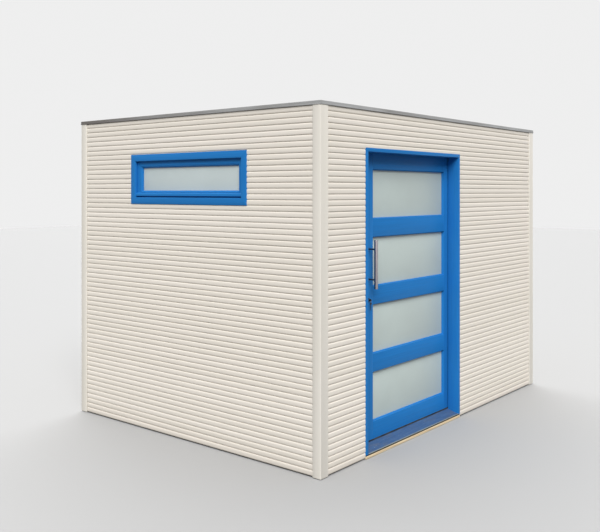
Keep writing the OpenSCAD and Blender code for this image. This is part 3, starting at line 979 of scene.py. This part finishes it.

# %% [markdown]
# The pull handle is an upright bar of brushed steel on two posts. Small collars hide where the posts enter
# the stile. All of them are turned; the posts with their collars make one piece, and the bar another.

# %% Pull handle
bar_low, bar_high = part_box("pull_handle")
bar_radius = (bar_high.x - bar_low.x) / 2
bar_x, bar_y = bar_low.x + bar_radius, bar_low.y + bar_radius
post_gap = 0.2
post_heights = (bar_low.z + bar_high.z) / 2 + np.array([-0.5, 0.5]) * post_gap
bar_profile = rounded_rod(bar_high.z - bar_low.z, bar_radius, 0.0012)
add_piece("handle_bar", turned([(bar_x, bar_y, bar_low.z)], 2, bar_profile, 48), "door", ["pull_handle"],
          brushed_steel, crease=40)
post_start = bar_y + bar_radius * 0.8
post_length = leaf_low.y - post_start
post_profile = [(0, 0.006), (post_length - 0.004, 0.006), (post_length - 0.004, 0.0088),
                (post_length - 0.003, 0.0096), (post_length, 0.0096)]
post_steel = dull_metal("post_steel", tint(132, 128, 132), 0.3, (420, 9, 420), 0.3)
add_piece("handle_posts", turned([(bar_x, post_start, height) for height in post_heights], 1, post_profile),
          "door", [], post_steel, crease=40)

# %% [markdown]
# The lock is a round rose with a softly domed rim, and the end of the cylinder stands out of it.

# %% Lock
rose_low, rose_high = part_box("lock_cylinder")
rose_radius = (rose_high.x - rose_low.x) / 2
lock_x, lock_z = rose_low.x + rose_radius, rose_low.z + rose_radius
rose_face = leaf_low.y - 0.007
plug_radius = 0.0085
lock_profile = [
    (0, plug_radius - 0.001), (0.0008, plug_radius), (rose_face - rose_low.y - 0.0004, plug_radius),
    (rose_face - rose_low.y - 0.0004, plug_radius + 0.0012), (rose_face - rose_low.y, plug_radius + 0.0018),
    (rose_face - rose_low.y + 0.0003, rose_radius - 0.004),
    (rose_face - rose_low.y + 0.001, rose_radius - 0.002),
    (rose_face - rose_low.y + 0.0026, rose_radius - 0.0005), (rose_face - rose_low.y + 0.0045, rose_radius),
    (leaf_low.y - rose_low.y, rose_radius)]
add_piece("lock_rose", turned([(lock_x, rose_low.y, lock_z)], 1, lock_profile, 40), "door", ["lock_cylinder"],
          dull_metal("lock_steel", tint(58, 58, 60), 0.3, (90, 90, 90), 0.3), crease=35)

# %% [markdown]
# A key stands in the lock, and a second one hangs from it on a small ring. A key's head is a disc with a
# hole near its edge. As a surface, it is a strip that goes once round the hole: at each angle it reaches
# from the hole's rim to the disc's edge, which is further away on one side than on the other.

# %% Keys
def key_head(hole, across, up, through, hole_radius, disc_radius, off_centre, thickness):
    """Rings round a hole: at angle t the strip reaches from the hole to the disc's edge.

    The disc's centre lies off_centre along across. The edge's distance in direction t is
    off_centre * cos t + sqrt(disc_radius^2 - (off_centre * sin t)^2).
    """
    turn = np.linspace(0, 2 * np.pi, 40, endpoint=False)
    reach = off_centre * np.cos(turn) + np.sqrt(disc_radius ** 2 - (off_centre * np.sin(turn)) ** 2)
    rim, half = 0.0006, thickness / 2
    inner = np.full_like(turn, hole_radius)
    distance = np.stack(
        [inner, inner + rim, reach - rim, reach, reach, reach - rim, inner + rim, inner], axis=-1)
    side = np.array([-half + rim, -half, -half, -half + rim, half - rim, half, half, half - rim])
    direction = np.cos(turn)[:, None] * across + np.sin(turn)[:, None] * up
    rings = hole + distance[..., None] * direction[:, None, :] + side[None, :, None] * through
    return rings[None]


def key_plastic():
    """Colour = black with faint wear that also dulls its shine."""
    material, tree, shader = shader_tree("key_plastic")
    wear = noise(tree, (160, 160, 160), 4)
    colour = blend(tree, spread(tree, wear, 0.4, 0.7), tint(20, 21, 23), tint(44, 45, 48))
    join_finish(tree, shader, colour, wear, (0.34, 0.55), specular=0.4)
    return material


key_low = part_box("door_key")[0]
black_plastic = key_plastic()
bow_radius = 0.0088
bow_hole = np.array([lock_x, key_low.y + 0.0052, lock_z])
bow_rings = key_head(bow_hole, Y, Z, X, 0.003, bow_radius, bow_radius - 0.0052, 0.0044)
add_piece("key_in_lock", bow_rings, "door", ["door_key"], black_plastic, round_path=True, crease=40)
spare_radius = 0.009
spare_hole = np.array([lock_x, key_low.y + 0.0055, bow_hole[2] - 0.0172])
spare_rings = key_head(spare_hole, -Z, X, Y, 0.0028, spare_radius, spare_radius - 0.0048, 0.003)
add_piece("spare_key_head", spare_rings, "door", [], black_plastic, round_path=True, crease=40)

# %% [markdown]
# The spare key's blade has notches cut into one edge, which are a folded line of the height. The shank of
# the key in the lock is a plain flat bar between its head and the plug.

# %% Key blades and ring
blade_top = spare_hole[2] - 2 * spare_radius + 0.0075
blade_heights = np.linspace(key_low.z, blade_top, 25)
from_tip = (blade_heights - key_low.z) / (blade_top - key_low.z)
notch = 0.0016 * np.abs((from_tip * 6.3) % 2 - 1) * (from_tip < 0.78)
half_blade = np.minimum(0.0034, 0.0012 + 0.12 * (blade_heights - key_low.z))
blade_rings = np.empty((1, 25, 4, 3))
notched = half_blade - notch
blade_rings[0, :, :, 0] = lock_x + np.stack([-half_blade, notched, notched, -half_blade], axis=-1)
blade_rings[0, :, :, 1] = spare_hole[1] + np.array([-0.001, -0.001, 0.001, 0.001])
blade_rings[0, :, :, 2] = blade_heights[:, None]
brass = dull_metal("key_brass", tint(150, 146, 92), 0.3, (200, 200, 60), 0.5)
dark_steel = dull_metal("key_steel", tint(64, 66, 68), 0.3, (200, 200, 60), 0.5)
add_piece("spare_key_blade", blade_rings, "door", [], dark_steel, crease=20)
shank = rounded_block((lock_x - 0.0012, key_low.y + 2 * bow_radius - 0.002, lock_z - 0.0042),
                      (lock_x + 0.0012, rose_low.y + 0.0002, lock_z + 0.0042), 0.0004, axis=1, steps=2)
add_piece("key_shank", shank, "door", [], brass, crease=60)

ring_middle = (bow_hole + spare_hole) / 2
ring_radius = (bow_hole[2] - spare_hole[2]) / 2 + 0.0006
ring_turn = np.linspace(0, 2 * np.pi, 36, endpoint=False)
wire_turn = np.linspace(0, 2 * np.pi, 8, endpoint=False)
slanted = (X + Y) / np.sqrt(2)
outwards = np.cos(ring_turn)[:, None] * slanted + np.sin(ring_turn)[:, None] * Z
sideways = np.cross(slanted, Z)
wire = np.cos(wire_turn)[None, :, None] * outwards[:, None, :] + np.sin(wire_turn)[None, :, None] * sideways
ring_rings = ring_middle + ring_radius * outwards[:, None, :] + 0.0008 * wire
add_piece("key_ring", ring_rings[None], "door", [], brushed_steel, round_path=True, crease=60)

# %% [markdown]
# ## Hinges
# The door opens into the shed, so its three hinges are only seen from inside. Each has two plates with
# rounded edges, screwed to the leaf and to the frame, and a knuckle split at half height: the lower half
# belongs to the frame, and the upper half turns with the leaf.

# %% Hinges
hinge_low, hinge_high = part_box("frame_hinges")
moving_low, moving_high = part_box("door_hinges")
knuckle_radius = 0.008
hinge_height = 0.12
pin_x = moving_high.x - knuckle_radius
pin_y = hinge_high.y - knuckle_radius
hinge_feet = np.linspace(hinge_low.z, hinge_high.z - hinge_height, 3)
plate_thickness = 0.003
hinge_steel = dull_metal("hinge_steel", tint(158, 161, 165), 0.3, (60, 60, 9), 0.4)


def hinge_plates(name, node, body, plate_x, back, lug_x, lug_share):
    """Three plates with a lug that reaches the knuckle over a share of their height."""
    blocks = []
    for foot in hinge_feet:
        blocks.append(rounded_block(
            (plate_x[0], back, foot), (plate_x[1], back + plate_thickness, foot + hinge_height),
            0.0008, axis=2))
        blocks.append(rounded_block((lug_x[0], back, foot + lug_share[0] * hinge_height),
                                    (lug_x[1], back + plate_thickness, foot + lug_share[1] * hinge_height),
                                    0.0006, axis=2))
    add_piece(name, np.concatenate(blocks), body, [node], hinge_steel, crease=60)


room_face = hinge_low.y
lower_end, upper_start = 0.495, 0.51
plate_off_pin, lug_inner, lug_outer = 0.009, 0.003, 0.0095
hinge_plates(
    "hinge_plates_on_frame", "frame_hinges", "building", (pin_x + plate_off_pin, hinge_high.x), room_face,
    (pin_x + lug_inner, pin_x + lug_outer), (0.0, lower_end))
hinge_plates(
    "hinge_plates_on_leaf", "door_hinges", "door", (moving_low.x, pin_x - plate_off_pin), leaf_high.y,
    (pin_x - lug_outer, pin_x - lug_inner), (upper_start, 1.0))
for label, body, start, share in (
        ("frame", "building", 0.0, lower_end), ("leaf", "door", upper_start, 1 - upper_start)):
    knuckle = rounded_rod(hinge_height * share, knuckle_radius, 0.0015)
    pins = [(pin_x, pin_y, foot + hinge_height * start) for foot in hinge_feet]
    add_piece(f"knuckles_on_{label}", turned(pins, 2, knuckle), body, [], hinge_steel, crease=40)

# %% [markdown]
# The screws are turned too: a low dome with a dished middle.

# %% Screws
screw_profile = [
    (0, 0.0036), (0.0004, 0.0036), (0.0011, 0.0028), (0.0013, 0.0018), (0.0008, 0.0012), (0.0007, 0.0004)]
screw_heights = (hinge_feet[:, None] + hinge_height * np.array([0.14, 0.5, 0.86])[None, :]).ravel()
for label, body, place_x, face in (
        ("frame", "building", (pin_x + plate_off_pin + hinge_high.x) / 2, room_face + plate_thickness),
        ("leaf", "door", (moving_low.x + pin_x - plate_off_pin) / 2, leaf_high.y + plate_thickness)):
    add_piece(f"screws_on_{label}", turned([(place_x, face, height) for height in screw_heights], 1,
                                           screw_profile, 16), body, [], hinge_steel, crease=40)

# %% [markdown]
# ## The roof's edge
# A folded sheet of grey metal caps the roof all round. Its face turns out a little at the foot, which
# stiffens it and throws the rain clear of the boards, and its top folds down inside. The cross-section is
# a closed outline of the sheet, carried round the building's rectangle with the mitre helper.

# %% Roof edge
edge_low, edge_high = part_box("roof_edge_front")
cap_height = edge_high.z - edge_low.z
cap_width = edge_high.y - edge_low.y
sheet = 0.002
hem = 0.006
step = 0.0014
inner_foot = 0.0045
edge_outline = np.array([
    [0.0, 0.0], [0.0, hem], [step, hem + 0.0016], [step, cap_height - 0.002],
    [0.002, cap_height - 0.0006], [0.0034, cap_height], [cap_width - 0.002, cap_height],
    [cap_width - 0.0006, cap_height - 0.0006], [cap_width, cap_height - 0.002], [cap_width, inner_foot],
    [cap_width - sheet, inner_foot], [cap_width - sheet, cap_height - sheet],
    [step + sheet, cap_height - sheet], [step + sheet, hem + 0.0022], [0.0032, hem], [0.0032, 0.0]])
overhang = front - edge_low.y
edge_rings, edge_values = mitred_boards(
    (Z * edge_low.z, X, Y, Z), (west - overhang, edge_low.y), (edge_high.x, back + overhang), edge_outline)


def zinc_sheet():
    """Colour = grey metal with streaks along the sheet and cloudy weathering, darker and browner towards the
    back as a painted reflection.
    """
    material, tree, shader = shader_tree("grey_metal_edge")
    streaks = noise(tree, (3, 90, 90), 5, 0.6, "board")
    colour = blend(tree, spread(tree, streaks, 0.3, 0.7), tint(152, 153, 153), tint(182, 183, 183))
    clouds = noise(tree, (1.6, 1.6, 6), 3)
    colour = blend(tree, spread(tree, clouds, 0.4, 0.68, 0, 0.55), colour, tint(134, 132, 129))
    # Painted reflection: the sheet's colour grows darker towards the back, standing in for its duller
    # reflection at the far end.
    painted_reflection_fade = spread(tree, coordinate(tree, "Y"), -0.6, 1.0, 0, 0.75)
    colour = blend(tree, painted_reflection_fade, colour, tint(92, 84, 79))
    join_finish(tree, shader, colour, streaks, (0.55, 0.7), (streaks, 0.0001), specular=0.25, metallic=0.25)
    return material


grey_metal = zinc_sheet()
for index, side in enumerate(("front", "right", "back", "left")):
    own = slice(index, index + 1)
    add_piece(f"metal_edge_{side}", edge_rings[own], "building", [f"roof_edge_{side}"],
              grey_metal, values={"board": edge_values["board"][own]})

# %% [markdown]
# ## Roofing sheet
# Inside the metal edge the roof is covered with dark sheets, each lapped over the next. The top is a
# surface of two parameters: it drops slowly over each sheet's width and steps up again at the lap, and a
# slow ripple keeps it from looking machined.

# %% Roofing sheet
def lapped_sheet(low, high, sheets, lap_step):
    """Rings along x: height = top - lap_step * (position within the sheet) - a slow ripple.

    The attribute lap is 1 at a lap and falls to 0 a few millimetres away from it.
    """
    edges = np.linspace(low.x, high.x, sheets + 1)
    stations = np.sort(np.concatenate([
        np.linspace(low.x, high.x, 61), edges[1:-1] - 0.011, edges[1:-1] - 0.004, edges[1:-1],
        edges[1:-1] + 0.002, edges[1:-1] + 0.011]))
    width = (high.x - low.x) / sheets
    within = ((stations - low.x) / width) % 1
    within[np.isclose(stations, high.x)] = 1
    side = np.linspace(low.y, high.y, 24)
    ripple = 0.0006 * (1 + np.sin(5.1 * stations[:, None] + 2 * np.sin(3.3 * side[None, :])))
    heights = high.z - lap_step * within[:, None] - ripple
    top = np.stack(np.broadcast_arrays(stations[:, None], side[None, ::-1], heights[:, ::-1]), axis=-1)
    under = np.stack(np.broadcast_arrays(stations[:, None], side[None, [0, -1]], np.float64(low.z)), axis=-1)
    rings = np.concatenate([under, top], axis=1)[None]
    from_lap = np.abs(stations[:, None] - edges[None, 1:-1]).min(axis=1)
    lap = np.broadcast_to(np.clip(1 - from_lap / 0.01, 0, 1)[None, :, None], rings.shape[:3])
    return rings, {"lap": lap}


def roofing_felt():
    """Colour = dark grey grit with paler weathered patches."""
    material, tree, shader = shader_tree("roofing_felt")
    grit = noise(tree, (420, 420, 420), 3, 0.7)
    colour = blend(tree, spread(tree, grit, 0.35, 0.7), tint(58, 59, 60), tint(98, 98, 97))
    patches = noise(tree, (2.6, 5.2, 2.6), 7, 0.68)
    colour = blend(tree, spread(tree, patches, 0.42, 0.72, 0, 0.35), colour, tint(108, 106, 101))
    lap = spread(tree, carried(tree, "lap"), 0.1, 0.8, 0, 0.75)
    colour = blend(tree, lap, colour, tint(34, 34, 35))
    join_finish(tree, shader, colour, grit, (0.8, 0.95), (grit, 0.0008), specular=0.2)
    return material


felt_low, felt_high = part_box("roof_membrane")
felt_rings, felt_values = lapped_sheet(felt_low, felt_high, 3, 0.0016)
add_piece("roofing_sheets", felt_rings, "building", ["roof_membrane"], roofing_felt(), crease=60,
          values=felt_values)

# %% [markdown]
# ## Inside
# Through the open door the shed shows its lining: boards with a small V between neighbours, on walls and
# ceiling, and a plain boarded floor. The helper that made the cladding makes these too, with another
# profile, and the boards reach through the wall, so that they stand for its whole thickness.

# %% Lining profile
def vee_joint(width, depth):
    """A profile that is flat but for a V at its ends: depth * (1 - distance from the end / width)."""
    def profile(share):
        from_end = np.minimum(share, 1 - share)
        return depth * np.clip(1 - from_end / width, 0, 1)
    return profile


lining_profile = vee_joint(0.035, 0.0025)
lining_shares = np.array([0, 0.035, 0.965, 1])
lining_height = 0.121
pine_board = timber("pine_board", PINE_LIGHT, PINE_DARK, (0.9, 22, 22), "board")


def lined(name, node, plane, zones, height, thickness, first, profile=lining_profile, material=pine_board):
    """Boards with V joints in some zones of a plane."""
    rings, values = board_rings(plane, strips_in(zones, first, height), first, height, profile, lining_shares,
                                thickness)
    return add_piece(name, rings, "building", [node], material, crease=20,
                     values={"board": values["board"]})


core_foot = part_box("back_wall")[0].z
wall_core = 0.1245


def line_wall(name, node, plane, zones):
    """A wall's lining, of boards that reach through the wall."""
    lined(name, node, plane, zones, lining_height, wall_core, core_foot)


for part in ("left", "right", "head"):
    low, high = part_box(f"front_wall_{part}")
    line_wall(f"lining_front_{part}", f"front_wall_{part}", (Y * high.y, X, Z, -Y),
              [(low.x, high.x, low.z, high.z)])
low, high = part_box("back_wall")
line_wall("lining_back", "back_wall", (Y * low.y, X, Z, Y), [(low.x, high.x, low.z, high.z)])
low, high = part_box("right_wall")
line_wall("lining_right", "right_wall", (X * low.x, Y, Z, X), [(low.y, high.y, low.z, high.z)])
low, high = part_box("left_wall")
line_wall("lining_left", "left_wall", (X * high.x, Y, Z, -X), [
    (low.y, high.y, low.z, frame_low.z), (low.y, frame_low.y, frame_low.z, frame_high.z),
    (frame_high.y, high.y, frame_low.z, frame_high.z), (low.y, high.y, frame_high.z, high.z)])

# %% [markdown]
# The floor's boards run from the door to the back, and so do the boards under the roofing. The ceiling is
# left open, so the joists show, with the ledgers that carry them along the front and back walls.

# %% Floor and roof boards
low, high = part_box("floor_deck")
lined("floor_boards", "floor_deck", (Z * high.z, Y, X, -Z), [(low.y, high.y, low.x, high.x)],
      0.136, high.z - low.z, low.x, vee_joint(0.012, 0.0015),
      timber("floor_board_finish", tint(196, 166, 122), tint(150, 116, 76), (0.9, 22, 22), "board", 0.5))
low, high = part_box("roof_deck")
lined("roof_boards", "roof_deck", (Z * low.z, Y, X, Z), [(low.y, high.y, low.x, high.x)],
      0.148, high.z - low.z - 0.0002, low.x, vee_joint(0.02, 0.002))
pine_along_y = timber("pine_joists", PINE_LIGHT, PINE_DARK, (22, 0.9, 22))
pine_along_x = timber("pine_ledgers", PINE_LIGHT, PINE_DARK, (0.9, 22, 22))
softened("joists", "roof_joists", "building", pine_along_y, 0.002)
softened("ledgers", "roof_ledgers", "building", pine_along_x, 0.002)
softened("kerb", "roof_kerb", "building", pine_along_x, 0.002)

# %% [markdown]
# The base frame and the floor's bearers stand on the ground, so their timber is pressure treated and brown.
# Its colour is also darkened as painted shade, for the shadow that lies under the cladding's foot.

# %% Base timbers
# Painted shade: both timber colours are darkened for the shadow under the cladding, on top of the treated
# brown.
TREATED_SHADED_LIGHT, TREATED_SHADED_DARK = tint(92, 80, 66), tint(60, 52, 44)
treated_shaded_along_y = timber("treated_bearers_painted_shade", TREATED_SHADED_LIGHT, TREATED_SHADED_DARK, (22, 0.9, 22), None, 0.75)
treated_shaded_along_x = timber("treated_base_painted_shade", TREATED_SHADED_LIGHT, TREATED_SHADED_DARK, (0.9, 22, 22), None, 0.75)
softened("bearers", "floor_bearers", "building", treated_shaded_along_y, 0.003)
softened("base", "base_frame", "building", treated_shaded_along_x, 0.003)
